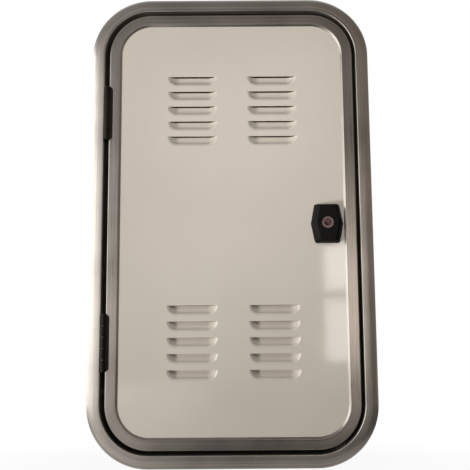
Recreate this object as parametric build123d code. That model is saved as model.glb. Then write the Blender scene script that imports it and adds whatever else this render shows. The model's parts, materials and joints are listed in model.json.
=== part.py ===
from build123d import *
import os

# Caravan gas locker door: a louvred sheet door in an aluminium frame, hung inside a wall frame.
# X runs to the right, Y runs into the wall and Z runs up. The wall's outer surface is the plane
# y = 0, and the origin is on it at the middle of the opening. Ring sections are drawn as (u, y),
# where u runs inwards from the outer edge of the ring that they belong to.

# Wall frame
frame_width = 422.0
frame_height = 707.0
frame_corner = 90.0
frame_wall = 1.6
flange_width = 19.7
flange_rise = 5.5
flange_edge = 1.0
flange_crest = 9.5
flange_round = 2.0
foot_width = 2.6
foot_hollow = 1.5
ledge_width = 13.0
frame_butt_z = -153.0
butt_slit = 0.2

# Holes for the screws that fix the wall frame
fixing_hole = 4.2
fixing_depth = 11.5
fixing_corner_inset = 20.0
fixing_middle_spread = 140.0

# Door frame
door_gap = 6.1
door_shift = 1.0
door_depth = 15.4
door_wall = 1.5
door_edge_round = 1.2
band_width = 18.2
band_slope = 3.0
band_round = 1.5
lip_tip = 0.4
lip_land = 2.0
back_flange_width = 12.0
groove_rib_width = 14.0
door_butt_z = -4.0

# Sheet panel
panel_setback = 2.4
panel_sheet = 1.2
panel_overlap = 12.0
panel_gasket_thickness = 1.0
panel_gasket_width = 7.0

# Louvres, pressed inwards with the slit on top
louvre_length = 75.0
louvre_height = 15.0
louvre_depth = 8.0
louvre_foot_run = 3.0
louvre_foot_depth = 1.4
louvre_pitch = 23.5
louvre_rows = 5
louvre_columns_apart = 121.0
louvre_shift = 1.4
louvre_margin = 80.2

# Seal between the wall frame's ledge and the door frame
seal_gap = 0.3
seal_foot_width = 10.2
seal_foot_thickness = 1.3
seal_foot_inset = 0.3
seal_bulb = 5.0
seal_bulb_wall = 0.9
seal_bulb_sink = 0.5

# Joiners across the butts
joiner_length = 60.0
joiner_thickness = 1.5
joiner_fit = 0.1

# Hinges
hinge_length = 83.0
hinge_inset = 180.5
hinge_drop = 1.0
hinge_pin = 2.4
hinge_pin_rise = 3.5
hinge_knuckle = 6.6
hinge_knuckles = 5
hinge_knuckle_gap = 0.4
hinge_pin_clearance = 0.06
hinge_swing_clearance = 0.5
frame_leaf_thickness = 1.8
door_leaf_thickness = 1.6
leaf_margin = 1.0
strip_width = 4.8
strip_thickness = 2.2
strip_chamfer = 3.5
strip_bevel = 0.7

# Rivets of the hinge leaves
rivet_shank = 3.2
rivet_head = 5.2
rivet_head_thickness = 0.8
rivet_tail = 5.0
rivet_tail_thickness = 1.2
rivet_spacing = 48.0
rivet_count = 2

# Lock housing: a six-sided block that narrows in two steps
lock_inset = 43.8
lock_middle_width = 48.0
lock_end_width = 37.0
lock_height = 58.6
lock_rise = 13.2
lock_shoulder_rise = 8.5
lock_shoulder_inset = 3.4
lock_face_inset = 8.0
lock_end_share = 0.4
lock_corner_round = 4.0
lock_face_round = 2.5
lock_gasket_thickness = 0.8
lock_gasket_inset = 1.0
lock_neck = 24.0
lock_neck_flats = 21.0
lock_neck_clearance = 0.3
lock_washer_outer = 32.0
lock_washer_thickness = 0.8
lock_nut_flats = 30.0
lock_nut_thickness = 5.0
thread_fit = 0.05

# Key cylinder
key_head = 17.7
key_head_length = 8.0
key_barrel = 15.6
key_recess = 0.5
key_edge_round = 0.6
key_clearance = 0.05
key_slot_length = 6.4
key_slot_width = 2.2
key_slot_depth = 6.0
key_slot_turn = -40.0
key_slot_shift = 3.0
tail_side = 8.0

# Cam and what holds it
cam_gap = 0.5
cam_end_gap = 0.3
cam_thickness = 2.5
cam_hub_width = 16.0
cam_tip_width = 12.0
cam_length = 45.0
cam_fit = 0.05
cam_washer_outer = 14.0
cam_washer_thickness = 1.0
cam_screw = 5.0
cam_screw_length = 8.0
cam_screw_head = 9.0
cam_screw_head_height = 2.8
cam_screw_bevel = 0.8
cam_screw_drive = 4.0
cam_screw_drive_depth = 1.6

# Planes and positions that follow from the sizes
opening_half_width = frame_width / 2 - flange_width
opening_half_height = frame_height / 2 - flange_width
door_half_width = opening_half_width - door_gap
door_half_height = opening_half_height - door_gap
door_left = door_shift - door_half_width
door_right = door_shift + door_half_width
door_corner = frame_corner - flange_width - door_gap
door_face = -flange_rise
door_back = door_face + door_depth
panel_front = door_face + panel_setback
panel_back = panel_front + panel_sheet
groove_back = panel_back + panel_gasket_thickness
channel_front = groove_back + door_wall
channel_back = door_back - door_wall
channel_middle = (channel_front + channel_back) / 2
panel_inset = band_width - panel_overlap
panel_half_height = door_half_height - band_width
ledge_front = door_back + seal_gap + seal_bulb - seal_bulb_sink + seal_foot_thickness
ledge_back = ledge_front + frame_wall
web_outer = flange_width - frame_wall
pin_x = (door_left - opening_half_width) / 2
pin_y = door_face - hinge_pin_rise
leaf_end = channel_middle + rivet_head / 2 + leaf_margin
hinge_reach = frame_height / 2 - hinge_inset
lock_x = door_right - lock_inset
lock_base = panel_front - lock_gasket_thickness
lock_front = lock_base - lock_rise
cam_front = ledge_back + cam_gap
cam_back = cam_front + cam_thickness
neck_end = cam_front - cam_end_gap
key_front = lock_front + key_recess


def facing(depth):
    """The plane at this depth that faces the front, with X to the right and Z up."""
    return Plane.XZ.offset(-depth)


def slab(sketch, front, back):
    """A flat piece with this outline between two depths."""
    return extrude(facing(back) * sketch, back - front)


def block(x_range, y_range, z_range):
    """A rectangular solid between these limits."""
    size = [high - low for low, high in (x_range, y_range, z_range)]
    centre = [(high + low) / 2 for low, high in (x_range, y_range, z_range)]
    return Pos(*centre) * Box(*size)


def ring(section, width, height, corner):
    """A ring of this section round a rectangle with rounded corners."""
    side = Plane((width / 2, 0, height / 2 - corner), x_dir=(-1, 0, 0), z_dir=(0, 0, -1))
    top = Plane((width / 2 - corner, 0, height / 2), x_dir=(0, 0, -1), z_dir=(1, 0, 0))
    corner_axis = Axis((width / 2 - corner, 0, height / 2 - corner), (0, -1, 0))
    quarter = extrude(side * section, height / 2 - corner, dir=(0, 0, -1))
    quarter += revolve(side * section, corner_axis, 90)
    quarter += extrude(top * section, width / 2 - corner, dir=(-1, 0, 0))
    half = quarter + mirror(quarter, Plane.YZ)
    return half + mirror(half, Plane.XY)


def door_ring(section):
    """A ring of this section round the door."""
    return Pos(door_shift, 0, 0) * ring(section, 2 * door_half_width, 2 * door_half_height, door_corner)


def rounded(section, points, radius):
    """The section with a fillet at the corners nearest these points."""
    corners = [section.vertices().sort_by_distance((*point, 0))[0] for point in points]
    return fillet(corners, radius)


def wall_frame_section():
    """A convex flange on a foot, the web into the wall and the ledge that carries the seal."""
    under = door_face + frame_wall
    lines = [
        Line((0, 0), (0, -flange_edge)),
        TangentArc((flange_crest, -flange_rise), (0, -flange_edge), tangent=(-1, 0)),
        Polyline(
            (flange_crest, -flange_rise),
            (flange_width, -flange_rise),
            (flange_width, ledge_front),
            (flange_width + ledge_width, ledge_front),
            (flange_width + ledge_width, ledge_back),
            (web_outer, ledge_back),
            (web_outer, under),
            (flange_crest, under),
            (foot_width, -foot_hollow),
            (foot_width, 0),
            (0, 0),
        ),
    ]
    return rounded(make_face(Curve() + lines), [(flange_width, -flange_rise)], flange_round)


def door_frame_section():
    """The front band with its sloping lip, the groove for the sheet and the flange for the seal."""
    band_flat = band_width - band_slope
    under = door_face + door_wall
    points = [
        (0, door_face),
        (band_flat, door_face),
        (band_width, panel_front - lip_tip),
        (band_width, panel_front),
        (band_width - lip_land, panel_front),
        (band_width - lip_land - band_slope / 2, under),
        (door_wall, under),
        (door_wall, groove_back),
        (groove_rib_width, groove_back),
        (groove_rib_width, channel_front),
        (door_wall, channel_front),
        (door_wall, channel_back),
        (back_flange_width, channel_back),
        (back_flange_width, door_back),
        (0, door_back),
    ]
    section = make_face(Polyline(*points, close=True))
    section = rounded(section, [(0, door_face)], door_edge_round)
    return rounded(section, [(band_flat, door_face)], band_round)


def seal_section():
    """A flat foot on the ledge with a hollow, flat-sided bulb that the door frame meets."""
    foot_start = flange_width + seal_foot_inset
    foot_middle = foot_start + seal_foot_width / 2
    bulb_y = door_back + seal_gap + seal_bulb / 2
    foot = Pos(foot_middle, ledge_front - seal_foot_thickness / 2) * Rectangle(
        seal_foot_width, seal_foot_thickness
    )
    bulb = Pos(foot_start + seal_foot_width - seal_bulb / 2, bulb_y)
    outside = RegularPolygon(seal_bulb / 2, 6, major_radius=False)
    hollow = RegularPolygon(seal_bulb / 2 - seal_bulb_wall, 6, major_radius=False)
    return foot + bulb * outside - bulb * hollow


def pressing(profile):
    """A louvre's plan: the profile along the straight part and a quarter turn at each end."""
    reach = louvre_length / 2 - louvre_height
    start = Plane((-reach, panel_front, 0), x_dir=(0, 0, -1), z_dir=(1, 0, 0))
    end = Plane((reach, panel_front, 0), x_dir=(0, 0, -1), z_dir=(1, 0, 0))
    shape = extrude(start * profile, 2 * reach)
    shape += revolve(start * profile, Axis((-reach, 0, 0), (0, 1, 0)), 90)
    return shape + revolve(end * profile, Axis((reach, 0, 0), (0, -1, 0)), 90)


def louvre_skin():
    """The pressed skin of one louvre, deepest at the slit and easing into the sheet at its foot."""
    foot_start = (louvre_height - louvre_foot_run, louvre_foot_depth)
    front = TangentArc((0, louvre_depth), foot_start, tangent=(1, 0)) + Line(foot_start, (louvre_height, 0))
    back = Pos(0, panel_sheet) * front
    slit_edge = Line((0, louvre_depth), (0, louvre_depth + panel_sheet))
    foot_edge = Line((louvre_height, 0), (louvre_height, panel_sheet))
    return pressing(make_face(front + back + slit_edge + foot_edge))


def louvre_places():
    """Where the slits of the four groups lie."""
    first = panel_half_height - louvre_margin
    span = louvre_pitch * (louvre_rows - 1) + louvre_height
    places = []
    middle = door_shift + louvre_shift
    for x in (middle - louvre_columns_apart / 2, middle + louvre_columns_apart / 2):
        for top in (first, span - first):
            places += [Pos(x, 0, top - louvre_pitch * row) for row in range(louvre_rows)]
    return places


def neck_outline(clearance):
    """A round neck with a flat on each side, so that the lock can't turn in the sheet."""
    flats = Rectangle(lock_neck_flats + 2 * clearance, lock_neck + 2 * clearance)
    return Pos(lock_x, 0) * (Circle(lock_neck / 2 + clearance) & flats)


def door_sheet():
    """The sheet with its louvres and the hole for the lock."""
    width = 2 * (door_half_width - panel_inset)
    height = 2 * (door_half_height - panel_inset)
    outline = Pos(door_shift, 0) * RectangleRounded(width, height, door_corner - panel_inset)
    sheet = slab(outline, panel_front, panel_back)
    sheet -= slab(neck_outline(lock_neck_clearance), panel_front, panel_back)
    skin = louvre_skin()
    hole = pressing(Pos(louvre_height / 2, panel_sheet / 2) * Rectangle(louvre_height, panel_sheet))
    places = louvre_places()
    sheet -= [place * hole for place in places]
    return sheet + [place * skin for place in places]


def gasket_ring():
    """The strip behind the sheet that holds it against the lip."""
    middle = ((panel_back + groove_back) / 2, panel_inset + panel_gasket_width / 2)
    section = Pos(middle[1], middle[0]) * Rectangle(panel_gasket_width, panel_gasket_thickness)
    return door_ring(section)


def knuckle_rods(first, radius, allowance):
    """Every second knuckle's cylinder, from this one on, longer by the allowance at each end."""
    pitch = hinge_length / hinge_knuckles
    length = pitch - hinge_knuckle_gap + 2 * allowance
    start = pitch / 2 - hinge_length / 2
    places = [Pos(pin_x, pin_y, start + pitch * n) for n in range(first, hinge_knuckles, 2)]
    return Part() + [place * Cylinder(radius, length) for place in places]


def rivet(grip):
    """A flat-headed rivet with its head's top at the origin and its tail past the grip, along Z."""
    head = extrude(Circle(rivet_head / 2), rivet_head_thickness)
    tail = extrude(Plane.XY.offset(grip) * Circle(rivet_tail / 2), rivet_tail_thickness)
    return head + extrude(Circle(rivet_shank / 2), grip) + tail


def rivet_row(grip, head_x, direction):
    """The rivets of one leaf, with their heads flush in it."""
    row = []
    for n in range(rivet_count):
        z = rivet_spacing * (n - (rivet_count - 1) / 2)
        row.append(Plane((head_x, channel_middle, z), z_dir=(direction, 0, 0)) * rivet(grip))
    return row


def frame_leaf(rivets):
    """The hinge half on the web, with the outer and middle knuckles."""
    wall = (-opening_half_width, -opening_half_width + frame_leaf_thickness)
    leaf = block(wall, (pin_y, leaf_end), (-hinge_length / 2, hinge_length / 2))
    leaf -= knuckle_rods(1, hinge_knuckle / 2 + hinge_swing_clearance, hinge_knuckle_gap)
    leaf += knuckle_rods(0, hinge_knuckle / 2, 0)
    leaf -= Pos(pin_x, pin_y, 0) * Cylinder(hinge_pin / 2, hinge_length)
    return leaf - rivets


def door_leaf(rivets):
    """The hinge half on the door: a strip over the band's edge and a plate down its side."""
    half = hinge_length / 2
    outline = make_face(
        Polyline(
            (pin_x, -half),
            (door_left + strip_width - strip_chamfer, -half),
            (door_left + strip_width, strip_chamfer - half),
            (door_left + strip_width, half - strip_chamfer),
            (door_left + strip_width - strip_chamfer, half),
            (pin_x, half),
            close=True,
        )
    )
    strip = slab(outline, door_face - strip_thickness, door_face)
    front = strip.faces().sort_by(Axis.Y)[0]
    strip = chamfer([edge for edge in front.edges() if edge.center().X > pin_x + strip_bevel], strip_bevel)
    plate = block((door_left - door_leaf_thickness, door_left), (door_face - strip_thickness, leaf_end), (-half, half))
    leaf = strip + plate
    leaf -= knuckle_rods(0, hinge_knuckle / 2 + hinge_swing_clearance, hinge_knuckle_gap)
    leaf += knuckle_rods(1, hinge_knuckle / 2, 0)
    leaf -= Pos(pin_x, pin_y, 0) * Cylinder(hinge_pin / 2 + hinge_pin_clearance, hinge_length)
    return leaf - rivets


def lock_outline(inset, round_radius):
    """The lock's six-sided outline, drawn in by this much at its sides and less at its ends."""
    middle = lock_middle_width / 2 - inset
    end = lock_end_width / 2 - inset
    half = lock_height / 2 - inset * lock_end_share
    points = [(middle, 0), (end, half), (-end, half), (-middle, 0), (-end, -half), (end, -half)]
    outline = make_face(Polyline(*points, close=True))
    outline = rounded(outline, [(end, half), (-end, half), (-end, -half), (end, -half)], round_radius)
    return Pos(lock_x, 0) * outline


def round_piece(diameter, front, back):
    """A cylinder on the lock's axis between two depths."""
    return slab(Pos(lock_x, 0) * Circle(diameter / 2), front, back)


def lock_body():
    """The moulded housing: the two-step block, the neck through the sheet and the stepped bore."""
    base = facing(lock_base) * lock_outline(0, lock_corner_round)
    shoulder = facing(lock_base - lock_shoulder_rise) * lock_outline(lock_shoulder_inset, lock_corner_round)
    face = facing(lock_front) * lock_outline(lock_face_inset, lock_face_round)
    body = loft([base, shoulder], ruled=True) + loft([shoulder, face], ruled=True)
    body += slab(neck_outline(0), lock_base, neck_end)
    body -= round_piece(key_barrel + 2 * key_clearance, lock_front, neck_end)
    return body - round_piece(key_head + 2 * key_clearance, lock_front, key_front + key_head_length)


def key_plug():
    """The key cylinder with its slot, its stepped barrel and the square tail for the cam."""
    head = round_piece(key_head, key_front, key_front + key_head_length)
    head = fillet(head.edges().sort_by(Axis.Y)[0], key_edge_round)
    plug = head + round_piece(key_barrel, key_front + key_head_length, neck_end)
    plug += slab(Pos(lock_x, 0) * Rectangle(tail_side, tail_side), neck_end, cam_back)
    slot = Pos(0, -key_slot_shift) * Rectangle(key_slot_length, key_slot_width)
    slot = Pos(lock_x, 0) * Rot(0, 0, key_slot_turn) * slot
    plug -= slab(slot, key_front, key_front + key_slot_depth)
    return plug - round_piece(cam_screw, cam_back - cam_screw_length, cam_back)


def latch_cam():
    """The cam, which hangs down when unlatched and reaches behind the ledge when turned."""
    tip_y = cam_tip_width / 2 - cam_length
    outline = make_hull(Circle(cam_hub_width / 2).edges() + (Pos(0, tip_y) * Circle(cam_tip_width / 2)).edges())
    outline -= Rectangle(tail_side + 2 * cam_fit, tail_side + 2 * cam_fit)
    return slab(Pos(lock_x, 0) * outline, cam_front, cam_back)


def cam_fastener():
    """The screw that holds the cam on its tail."""
    seat = cam_back + cam_washer_thickness
    top = seat + cam_screw_head_height
    head = round_piece(cam_screw_head, seat, top)
    head = chamfer(head.edges().sort_by(Axis.Y)[-1], cam_screw_bevel)
    drive = Pos(lock_x, 0) * RegularPolygon(cam_screw_drive / 2, 6, major_radius=False)
    head -= slab(drive, top - cam_screw_drive_depth, top)
    return head + round_piece(cam_screw, cam_back - cam_screw_length, seat)


def frame_joiner():
    """The plate in the flange's hollow that bridges the wall frame's butt."""
    left = -frame_width / 2
    under = door_face + frame_wall
    return block(
        (left + flange_crest + joiner_fit, left + web_outer - joiner_fit),
        (under, under + joiner_thickness),
        (frame_butt_z - joiner_length / 2, frame_butt_z + joiner_length / 2),
    )


def door_joiner():
    """The plate in the door frame's channel that bridges its butt."""
    wall = door_right - door_wall
    return block(
        (wall - joiner_thickness, wall),
        (channel_front + joiner_fit, channel_back - joiner_fit),
        (door_butt_z - joiner_length / 2, door_butt_z + joiner_length / 2),
    )


def fixing_holes():
    """The screws' holes through the web: four on each long side and two on each short one."""
    corner_z = frame_height / 2 - frame_corner - fixing_corner_inset
    corner_x = frame_width / 2 - frame_corner - fixing_corner_inset
    middle_z = fixing_middle_spread / 2
    across = Pos(0, fixing_depth, 0) * Rot(0, 90, 0) * Cylinder(fixing_hole / 2, frame_width)
    upright = Pos(0, fixing_depth, 0) * Cylinder(fixing_hole / 2, frame_height)
    holes = [Pos(0, 0, z) * across for z in (-corner_z, -middle_z, middle_z, corner_z)]
    return holes + [Pos(x, 0, 0) * upright for x in (-corner_x, corner_x)]


def build():
    """Every piece by its name."""
    upper = Pos(0, 0, hinge_reach - hinge_drop)
    lower = Pos(0, 0, -hinge_reach - hinge_drop)
    frame_rivets = rivet_row(frame_leaf_thickness + frame_wall, frame_leaf_thickness - opening_half_width, -1)
    door_rivets = rivet_row(door_leaf_thickness + door_wall, door_left - door_leaf_thickness, 1)
    wall_leaf = frame_leaf(frame_rivets)
    swing_leaf = door_leaf(door_rivets)
    pin = Pos(pin_x, pin_y, 0) * Cylinder(hinge_pin / 2, hinge_length)
    all_frame_rivets = [place * piece for place in (upper, lower) for piece in frame_rivets]
    all_door_rivets = [place * piece for place in (upper, lower) for piece in door_rivets]

    outer = ring(wall_frame_section(), frame_width, frame_height, frame_corner)
    outer -= fixing_holes() + all_frame_rivets
    outer -= block(
        (-frame_width / 2, -frame_width / 2 + flange_width + ledge_width),
        (-flange_rise, ledge_back),
        (frame_butt_z - butt_slit / 2, frame_butt_z + butt_slit / 2),
    )
    door = door_ring(door_frame_section())
    door -= all_door_rivets
    door -= block(
        (door_right - band_width, door_right),
        (door_face, door_back),
        (door_butt_z - butt_slit / 2, door_butt_z + butt_slit / 2),
    )
    neck_hole = neck_outline(thread_fit)
    washer = Pos(lock_x, 0) * Circle(lock_washer_outer / 2) - neck_hole
    nut_seat = panel_back + lock_washer_thickness
    nut = Pos(lock_x, 0) * RegularPolygon(lock_nut_flats / 2, 6, major_radius=False)
    nut -= Pos(lock_x, 0) * Circle(lock_neck / 2 + thread_fit)
    cam_ring = Pos(lock_x, 0) * (Circle(cam_washer_outer / 2) - Circle(cam_screw / 2 + cam_fit))

    return {
        "outer_frame": outer,
        "outer_frame_joiner": frame_joiner(),
        "frame_seal": ring(seal_section(), frame_width, frame_height, frame_corner),
        "upper_hinge_frame_leaf": upper * wall_leaf,
        "lower_hinge_frame_leaf": lower * wall_leaf,
        "hinge_frame_rivets": Compound(children=all_frame_rivets),
        "upper_hinge_pin": upper * pin,
        "lower_hinge_pin": lower * pin,
        "door_frame": door,
        "door_frame_joiner": door_joiner(),
        "door_panel": door_sheet(),
        "panel_gasket": gasket_ring(),
        "upper_hinge_door_leaf": upper * swing_leaf,
        "lower_hinge_door_leaf": lower * swing_leaf,
        "hinge_door_rivets": Compound(children=all_door_rivets),
        "lock_gasket": slab(lock_outline(lock_gasket_inset, lock_corner_round) - neck_hole, lock_base, panel_front),
        "lock_housing": lock_body(),
        "lock_washer": slab(washer, panel_back, nut_seat),
        "lock_nut": slab(nut, nut_seat, nut_seat + lock_nut_thickness),
        "key_cylinder": key_plug(),
        "cam": latch_cam(),
        "cam_washer": slab(cam_ring, cam_back, cam_back + cam_washer_thickness),
        "cam_screw": cam_fastener(),
    }


os.makedirs("parts", exist_ok=True)
for name, piece in build().items():
    export_step(piece, f"parts/{name}.step")
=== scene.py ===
import json
import math

import bpy
from mathutils import Euler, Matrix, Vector

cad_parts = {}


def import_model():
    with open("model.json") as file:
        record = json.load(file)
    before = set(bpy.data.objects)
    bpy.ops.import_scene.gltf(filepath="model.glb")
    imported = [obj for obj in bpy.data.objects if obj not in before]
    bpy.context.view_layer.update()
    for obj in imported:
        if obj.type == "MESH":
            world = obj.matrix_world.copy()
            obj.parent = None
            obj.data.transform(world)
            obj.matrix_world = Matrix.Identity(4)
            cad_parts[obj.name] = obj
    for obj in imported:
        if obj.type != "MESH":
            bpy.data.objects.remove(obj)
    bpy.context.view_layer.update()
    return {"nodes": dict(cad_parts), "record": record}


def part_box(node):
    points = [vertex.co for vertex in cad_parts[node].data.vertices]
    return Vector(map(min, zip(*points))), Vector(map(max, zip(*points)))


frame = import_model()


def half_size(node):
    """Half the width and half the height of a CAD node, in metres."""
    low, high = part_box(node)
    return ((high.x - low.x) / 2, (high.z - low.z) / 2)


def middle(node):
    """The X of the middle of a CAD node, in metres."""
    low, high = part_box(node)
    return (low.x + high.x) / 2


# Sizes of the object that the materials and the stage refer to, in metres
FRAME_HALF = half_size("outer_frame")
FRAME_CORNER = 0.0900
DOOR_HALF = half_size("door_frame")
DOOR_CORNER = FRAME_CORNER - (FRAME_HALF[0] - DOOR_HALF[0])
DOOR_SHIFT = middle("door_frame")
PANEL_HALF = half_size("door_panel")
LEDGE_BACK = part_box("outer_frame")[1].y
LOCK_X = middle("key_cylinder")
FLOOR_HEIGHT = -FRAME_HALF[1]
LOCKER_SHADE_GAP = 0.0002

# The camera: its place in metres, its tilts in degrees, its lens and sensor in millimetres
CAMERA_PLACE = (0.004, -1.235, -0.210)
CAMERA_PITCH = 98.94
CAMERA_ROLL = 0.4
CAMERA_LENS = 64.3
CAMERA_SENSOR = 36.0

# Ranges for the nodes that map one range to another
RISE = (0.0, 1.0)
FALL = (1.0, 0.0)
NOISE_SPREAD = (0.3, 0.7)
TONE_SPREAD = (0.35, 0.65)

# Depths of bumps, in metres
GRAIN_DEPTH = 0.0002
WEAR_DEPTH = 0.0001

# Colours of light
WHITE = (1.0, 1.0, 1.0, 1.0)
NEUTRAL = (1.0, 1.0, 1.0)
DAYLIGHT = (0.92, 0.96, 1.0)
WARM = (1.0, 0.96, 0.92)


def srgb(r, g, b):
    """The linear colour, with alpha 1, for these 0 to 255 screen values."""
    def channel(v):
        v /= 255
        return v / 12.92 if v <= 0.04045 else ((v + 0.055) / 1.055) ** 2.4
    return (channel(r), channel(g), channel(b), 1.0)


def grey(level):
    """A grey of this linear level."""
    return (level, level, level, 1.0)


class Nodes:
    """A node tree, built call by call."""

    def __init__(self, owner, output="ShaderNodeOutputMaterial", place="Object"):
        owner.use_nodes = True
        self.owner = owner
        self.tree = owner.node_tree
        self.tree.nodes.clear()
        self.output = self.tree.nodes.new(output)
        self.place = self.tree.nodes.new("ShaderNodeTexCoord").outputs[place]

    def add(self, kind, inputs=None, **settings):
        """A new node, with its inputs linked or set."""
        node = self.tree.nodes.new(kind)
        for key, value in settings.items():
            setattr(node, key, value)
        for key, value in (inputs or {}).items():
            if isinstance(value, bpy.types.NodeSocket):
                self.tree.links.new(value, node.inputs[key])
            else:
                node.inputs[key].default_value = value
        return node

    def math(self, operation, *values):
        return self.add("ShaderNodeMath", dict(enumerate(values)), operation=operation).outputs[0]

    def split(self):
        """The X, Y and Z of the shaded point."""
        parts = self.add("ShaderNodeSeparateXYZ", {0: self.place}).outputs
        return parts[0], parts[1], parts[2]

    def length(self, vector):
        return self.add("ShaderNodeVectorMath", {0: vector}, operation="LENGTH").outputs["Value"]

    def noise(self, scale, detail=3.0, roughness=0.5, place=None):
        node = self.add("ShaderNodeTexNoise", {"Vector": place or self.place, "Scale": scale,
                                               "Detail": detail, "Roughness": roughness})
        return node.outputs["Fac"]

    def ramp(self, value, stops):
        """Colours at positions from 0 to 1, looked up with the value."""
        node = self.add("ShaderNodeValToRGB", {"Fac": value})
        ramp = node.color_ramp
        while len(ramp.elements) < len(stops):
            ramp.elements.new(0.5)
        for element, (position, colour) in zip(ramp.elements, stops):
            element.position = position
            element.color = colour
        return node.outputs["Color"]

    def two_tones(self, value, dark, light):
        """A soft change from one tone to the other over the middle of a noise."""
        low, high = TONE_SPREAD
        return self.ramp(value, [(low, dark), (high, light)])

    def between(self, value, source, target):
        """The value, mapped from one range to another and kept within it."""
        node = self.add("ShaderNodeMapRange", {"Value": value, "From Min": source[0], "From Max": source[1],
                                               "To Min": target[0], "To Max": target[1]})
        return node.outputs["Result"]

    def blend(self, first, second, share):
        """Two values, mixed with this share of the second."""
        return self.math("ADD", self.math("MULTIPLY", first, 1 - share), self.math("MULTIPLY", second, share))

    def blend_colours(self, factor, first, second):
        """Two colours, with the second one where the factor is 1."""
        node = self.add("ShaderNodeMix", {"Factor": factor, 6: first, 7: second}, data_type="RGBA")
        return node.outputs[2]

    def bump(self, height, strength, distance, normal=None):
        inputs = {"Height": height, "Strength": strength, "Distance": distance}
        if normal is not None:
            inputs["Normal"] = normal
        return self.add("ShaderNodeBump", inputs).outputs["Normal"]

    def ring_depth(self, half, corner, shift):
        """How far a point lies inside the outline of a rounded rectangle in X and Z, in metres."""
        x, _, z = self.split()
        over = []
        for place, size in ((self.math("SUBTRACT", x, shift), half[0]), (z, half[1])):
            over.append(self.math("SUBTRACT", self.math("ABSOLUTE", place), size - corner))
        outside = [self.math("MAXIMUM", reach, 0.0) for reach in over]
        square = [self.math("MULTIPLY", reach, reach) for reach in outside]
        length = self.math("SQRT", self.math("ADD", *square))
        inside = self.math("MINIMUM", self.math("MAXIMUM", *over), 0.0)
        return self.math("SUBTRACT", corner, self.math("ADD", length, inside))

    def glossy(self):
        """1 for the rays that a surface mirrors."""
        return self.add("ShaderNodeLightPath").outputs["Is Glossy Ray"]

    def seen(self):
        """1 for the rays that look at a surface directly, in a reflection or through glass."""
        rays = self.add("ShaderNodeLightPath").outputs
        direct = self.math("MAXIMUM", rays["Is Camera Ray"], rays["Is Glossy Ray"])
        return self.math("MAXIMUM", direct, rays["Is Transmission Ray"])

    def surface(self, shader):
        self.tree.links.new(shader, self.output.inputs["Surface"])
        return self.owner

    def mixed_surface(self, factor, first, second):
        """A surface of two shaders, with the second one where the factor is 1."""
        return self.surface(self.add("ShaderNodeMixShader", {0: factor, 1: first, 2: second}).outputs[0])

    def shader(self, inputs):
        return self.surface(self.add("ShaderNodeBsdfPrincipled", inputs).outputs["BSDF"])


def looks(name):
    """The nodes of a new material."""
    return Nodes(bpy.data.materials.new(name))


def aluminium(name, outline, tones, gap_side, crown, roughness):
    """Satin aluminium with a soft crown, fine lines drawn along the bent extrusion, and painted shade deep in
    the gap.

    The outline is a ring's half size, corner and shift. The gap side is the range of depths inside it
    where a face can lie in the gap. The crown is its slope at the outline and the width that it levels
    out over.
    """
    lines_across = 700.0
    lines_along = 5.0
    edge = 0.0004
    gap_mouth = (-0.0040, -0.0015)
    gap_floor = (0.0160, 0.0170)
    # Painted shade for the faces deep in the gap: its cover, dark tone and added roughness
    gap_shade_cover = (0.86, 0.94)
    gap_shade_tone = srgb(66, 58, 49)
    gap_shade_roughness = 0.4
    m = looks(name)
    depth = m.ring_depth(*outline)
    _, y, z = m.split()
    drawn = m.add("ShaderNodeCombineXYZ", {0: m.math("MULTIPLY", depth, lines_across),
                                           1: m.math("MULTIPLY", y, lines_across),
                                           2: m.math("MULTIPLY", z, lines_along)}).outputs[0]
    lines = m.noise(scale=1.0, roughness=0.65, place=drawn)
    cloud = m.noise(scale=11.0)
    mixed = m.blend(lines, cloud, share=0.4)
    # Painted shade: faces deep in the gap between the frames get a dark tone, more roughness and less metal,
    # where shade falls
    inner, outer = gap_side
    beside = m.math("MULTIPLY", m.between(depth, (inner, inner + edge), RISE),
                    m.between(depth, (outer, outer + edge), FALL))
    deep = m.math("MULTIPLY", m.between(y, gap_mouth, RISE), m.between(y, gap_floor, FALL))
    cover = m.between(cloud, NOISE_SPREAD, gap_shade_cover)
    gap_shade = m.math("MULTIPLY", m.math("MULTIPLY", beside, deep), cover)
    colour = m.blend_colours(gap_shade, m.two_tones(mixed, *tones), gap_shade_tone)
    clean_rough = m.between(mixed, NOISE_SPREAD, roughness)
    rough = m.math("ADD", clean_rough, m.math("MULTIPLY", gap_shade, gap_shade_roughness))
    slope, width = crown
    bow = m.math("MULTIPLY", m.math("MULTIPLY", depth, depth), slope / (2 * width))
    curved = m.bump(m.math("SUBTRACT", m.math("MULTIPLY", depth, slope), bow), strength=1.0, distance=1.0)
    return m.shader({"Base Color": colour, "Metallic": m.between(gap_shade, RISE, FALL), "Roughness": rough,
                     "Normal": m.bump(lines, strength=0.16, distance=GRAIN_DEPTH, normal=curved)})


def panel_paint():
    """Warm light grey paint with a soft sheen and the faint dimples of a sprayed sheet."""
    dimple_height = 8.0
    m = looks("panel_paint_looks")
    fine = m.noise(scale=900.0, detail=2.0)
    dimples = m.math("MULTIPLY", m.noise(scale=60.0, detail=2.0), dimple_height)
    cloud = m.blend(m.noise(scale=5.0), fine, share=0.25)
    return m.shader({"Base Color": m.two_tones(cloud, srgb(198, 188, 175), srgb(206, 196, 183)),
                     "Roughness": m.between(cloud, TONE_SPREAD, (0.05, 0.08)), "IOR": 1.5,
                     "Normal": m.bump(m.math("ADD", dimples, fine), strength=0.02, distance=GRAIN_DEPTH)})


def plastic(name, tones, roughness, grain=1500.0, strength=0.25):
    """Moulded black plastic or rubber with a fine grain."""
    m = looks(name)
    cloud = m.noise(scale=60.0)
    pits = m.noise(scale=grain, detail=2.0, roughness=0.6)
    return m.shader({"Base Color": m.two_tones(cloud, *tones), "Specular IOR Level": 0.05,
                     "Roughness": m.between(cloud, NOISE_SPREAD, roughness),
                     "Normal": m.bump(pits, strength, distance=GRAIN_DEPTH)})


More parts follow.
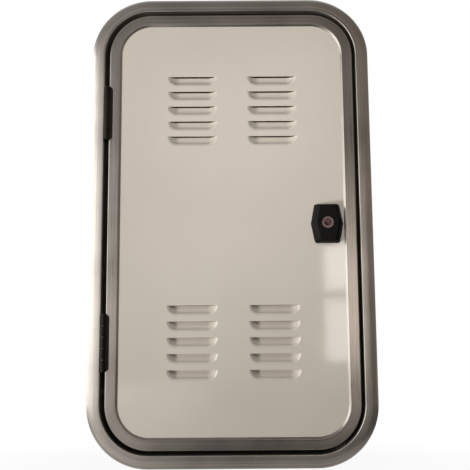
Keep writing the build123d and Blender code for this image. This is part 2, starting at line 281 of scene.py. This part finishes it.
def steel(name, tones, roughness=(0.25, 0.4)):
    """Bare, blackened or plated metal with fine wear."""
    m = looks(name)
    cloud = m.noise(scale=90.0)
    marks = m.noise(scale=1200.0, detail=2.0)
    return m.shader({"Base Color": m.two_tones(cloud, *tones), "Metallic": 1.0,
                     "Roughness": m.between(cloud, NOISE_SPREAD, roughness),
                     "Normal": m.bump(marks, strength=0.12, distance=WEAR_DEPTH)})


def key_face():
    """The worn key barrel: a dark reddish plug in a paler ring."""
    wear = 0.0004
    ramp_reach = (0.0, 0.010)
    barrel_reach = (0.0, 0.009)
    m = looks("key_looks")
    x, _, z = m.split()
    flat = m.add("ShaderNodeCombineXYZ", {0: m.math("SUBTRACT", x, LOCK_X), 2: z}).outputs[0]
    worn = m.math("ADD", m.length(flat), m.between(m.noise(scale=400.0), NOISE_SPREAD, (-wear, wear)))
    colour = m.ramp(m.between(worn, ramp_reach, RISE), [
        (0.30, srgb(84, 60, 61)), (0.50, srgb(60, 44, 44)),
        (0.56, srgb(94, 78, 77)), (0.86, srgb(106, 90, 88))])
    marks = m.noise(scale=1200.0, detail=2.0)
    return m.shader({"Base Color": colour, "Metallic": 1.0,
                     "Roughness": m.between(worn, barrel_reach, (0.42, 0.30)),
                     "Normal": m.bump(marks, strength=0.12, distance=WEAR_DEPTH)})


LOOKS = {
    "satin_aluminium": aluminium(
        "wall_frame_looks", outline=(FRAME_HALF, FRAME_CORNER, 0.0),
        tones=(srgb(113, 107, 100), srgb(152, 144, 136)),
        gap_side=(0.0191, 0.0400), crown=(0.25, 0.0210), roughness=(0.28, 0.38)),
    "satin_door_aluminium": aluminium(
        "door_frame_looks", outline=(DOOR_HALF, DOOR_CORNER, DOOR_SHIFT),
        tones=(srgb(106, 99, 92), srgb(143, 135, 127)),
        gap_side=(-0.0100, 0.0006), crown=(0.03, 0.0182), roughness=(0.25, 0.34)),
    "mill_aluminium": steel("mill_looks", (srgb(92, 90, 86), srgb(120, 117, 112)), roughness=(0.35, 0.5)),
    "panel_paint": panel_paint(),
    "black_rubber": plastic("rubber_looks", (srgb(52, 47, 41), srgb(64, 58, 51)), roughness=(0.6, 0.8),
                            grain=700.0, strength=0.3),
    "black_plastic": plastic("hinge_looks", (srgb(28, 26, 21), srgb(37, 34, 28)), roughness=(0.45, 0.58)),
    "lock_plastic": plastic("lock_looks", (srgb(11, 10, 8), srgb(18, 17, 14)), roughness=(0.38, 0.48)),
    "black_rivet": steel("rivet_looks", (srgb(40, 40, 40), srgb(60, 60, 58))),
    "steel": steel("zinc_looks", (srgb(165, 163, 155), srgb(195, 192, 182))),
    "key_metal": key_face(),
}
slots = {part["node"]: part["material_slot"] for part in frame["record"]["subparts"]}
for name, node in frame["nodes"].items():
    for slot in node.material_slots:
        slot.material = LOOKS[slots[name]]


def plane(name, corners, material):
    """A flat four-sided piece of the stage, which is seen and mirrored but lights and shades nothing."""
    mesh = bpy.data.meshes.new(name)
    mesh.from_pydata(corners, [], [(0, 1, 2, 3)])
    mesh.materials.append(material)
    sheet = bpy.data.objects.new(name, mesh)
    sheet.visible_shadow = False
    sheet.visible_diffuse = False
    bpy.context.collection.objects.link(sheet)


def floor():
    """A pale floor that keeps the object's shadow and is plain white further away.

    What mirrors it sees white behind the door and a dimmer floor in front, lighter to the left. Each
    pair is a stretch in metres and what the value is at its two ends.
    """
    size = 6.0
    near_left = ((-0.26, -0.04), (1.1, 0.12))
    far_left = ((-0.6, -0.15), (2.2, 0.0))
    right = ((0.04, 0.20), (0.0, 0.08))
    right_turn = ((0.2, 0.5), (0.0, 0.4))
    below_door = ((-0.12, -0.05), (0.0, 0.42))
    away = ((0.42, 0.62), (0.93, 1.0))
    door_line = (-0.02, 0.02)
    m = looks("floor_looks")
    x, y, _ = m.split()
    left = m.math("MAXIMUM", m.between(x, *near_left), m.between(x, *far_left))
    sides = m.math("ADD", left, m.between(x, *right))
    turned = m.math("SUBTRACT", y, m.between(x, *right_turn))
    front = m.math("ADD", sides, m.between(turned, *below_door))
    level = m.between(m.glossy(), RISE, (1.0, m.between(turned, door_line, (front, 1.0))))
    glow = m.add("ShaderNodeEmission", {"Color": WHITE, "Strength": level}).outputs[0]
    tone = m.ramp(m.noise(scale=2.0, detail=2.0), [(0.3, grey(0.86)), (0.7, grey(0.88))])
    diffuse = m.add("ShaderNodeBsdfDiffuse", {"Color": tone}).outputs[0]
    white = m.math("MULTIPLY", m.seen(), m.between(m.length(m.place), *away))
    m.mixed_surface(white, diffuse, glow)
    corners = [(-size, -size), (size, -size), (size, size), (-size, size)]
    plane("floor", [(x, y, FLOOR_HEIGHT) for x, y in corners], m.owner)


def locker_shade():
    """A sheet of painted shade for the dark inside behind the door, seen only from the front."""
    m = looks("locker_shade_looks")
    # Painted shade: a dim brown glow standing in for the unlit inside behind the door
    tone = m.ramp(m.noise(scale=8.0, detail=2.0), [(0.3, srgb(30, 22, 15)), (0.7, srgb(35, 26, 19))])
    dark = m.add("ShaderNodeEmission", {"Color": tone, "Strength": 1.0}).outputs[0]
    clear = m.add("ShaderNodeBsdfTransparent").outputs[0]
    behind = m.add("ShaderNodeNewGeometry").outputs["Backfacing"]
    m.mixed_surface(behind, dark, clear)
    x, z = PANEL_HALF
    corners = [(-x, -z), (x, -z), (x, z), (-x, z)]
    plane("locker_shade", [(x, LEDGE_BACK + LOCKER_SHADE_GAP, z) for x, z in corners], m.owner)


def world():
    """White where it is seen, with a dimmer room in front of the door for what mirrors it.

    The room goes from a bright left side to a warm right side, which reaches further round. The light
    that it gives is only a weak fill, with more of it from the left and most from behind. Each pair is
    a stretch of a direction and what the value is at its two ends.
    """
    whole = (-1.0, 1.0)
    low = ((-0.2, 0.05), (0.6, 1.0))
    high = ((0.1, 0.4), (1.0, 0.75))
    right_turn = ((0.2, 0.9), (0.0, 0.6))
    fill_across = (whole, (0.26, 0.06))
    fill_behind = ((0.0, 0.4), (0.0, 0.5))
    front = (-0.1, 0.3)
    w = Nodes(bpy.data.worlds.new("studio"), "ShaderNodeOutputWorld", "Generated")
    x, y, z = w.split()
    across = w.ramp(w.between(x, whole, RISE), [
        (0.20, WHITE), (0.40, grey(0.66)), (0.50, grey(0.60)),
        (0.60, srgb(206, 200, 194)), (0.76, srgb(208, 200, 192)), (0.96, srgb(208, 199, 190))])
    height = w.math("MULTIPLY", w.between(z, *low), w.between(z, *high))
    turned = w.math("SUBTRACT", y, w.between(x, *right_turn))
    room = w.math("MULTIPLY", w.glossy(), w.between(turned, front, FALL))
    tone = w.blend_colours(room, WHITE, across)
    level = w.between(room, RISE, (1.0, height))
    white = w.add("ShaderNodeBackground", {"Color": tone, "Strength": level}).outputs[0]
    fill = w.math("MAXIMUM", w.between(x, *fill_across), w.between(y, *fill_behind))
    light = w.add("ShaderNodeBackground", {"Color": WHITE, "Strength": fill}).outputs[0]
    w.mixed_surface(w.seen(), light, white)
    bpy.context.scene.world = w.owner


def lamp(name, place, target, size, power, colour=NEUTRAL, lights=True, mirrored=True):
    """A soft rectangular light that faces a point, and may only light or only be mirrored."""
    light = bpy.data.lights.new(name, "AREA")
    light.shape = "RECTANGLE"
    light.size, light.size_y = size
    light.energy = power
    light.color = colour
    holder = bpy.data.objects.new(name, light)
    holder.location = place
    holder.rotation_euler = (Vector(target) - Vector(place)).to_track_quat("-Z", "Y").to_euler()
    holder.visible_diffuse = lights
    holder.visible_glossy = mirrored
    bpy.context.collection.objects.link(holder)


def lamps():
    """Two lamps that light the door, and the window, side and panes that it only mirrors."""
    lamp("low", place=(-2.9, -1.8, -1.05), target=(0, 0, 0),
         size=(0.6, 0.6), power=106, mirrored=False)
    lamp("upper", place=(0.03, -0.46, 0.18), target=(0.05, 0, 0.10),
         size=(0.36, 0.36), power=1.20, mirrored=False)
    lamp("window", place=(-1.18, -1.02, -0.06), target=(0, 0, 0),
         size=(1.5, 1.7), power=30, colour=DAYLIGHT, lights=False)
    lamp("side", place=(-1.5, 0.25, 0.05), target=(-0.2, 0, 0),
         size=(1.3, 1.7), power=34, colour=DAYLIGHT, lights=False)
    lamp("pane_upper", place=(0.404, -1.30, 0.089), target=(0.15, 0, -0.06),
         size=(0.254, 0.137), power=0.73, colour=WARM, lights=False)
    lamp("pane_lower", place=(0.404, -1.30, -0.103), target=(0.15, 0, -0.15),
         size=(0.254, 0.185), power=0.88, colour=WARM, lights=False)


def camera():
    """Low in front of the door, looking up a little, as the photograph was taken."""
    lens = bpy.data.cameras.new("camera")
    lens.sensor_width = CAMERA_SENSOR
    lens.lens = CAMERA_LENS
    eye = bpy.data.objects.new("camera", lens)
    eye.location = CAMERA_PLACE
    eye.rotation_euler = Euler((math.radians(CAMERA_PITCH), math.radians(CAMERA_ROLL), 0.0), "XYZ")
    bpy.context.collection.objects.link(eye)
    bpy.context.scene.camera = eye


floor()
locker_shade()
world()
lamps()
camera()
bpy.context.scene.view_settings.view_transform = "Standard"
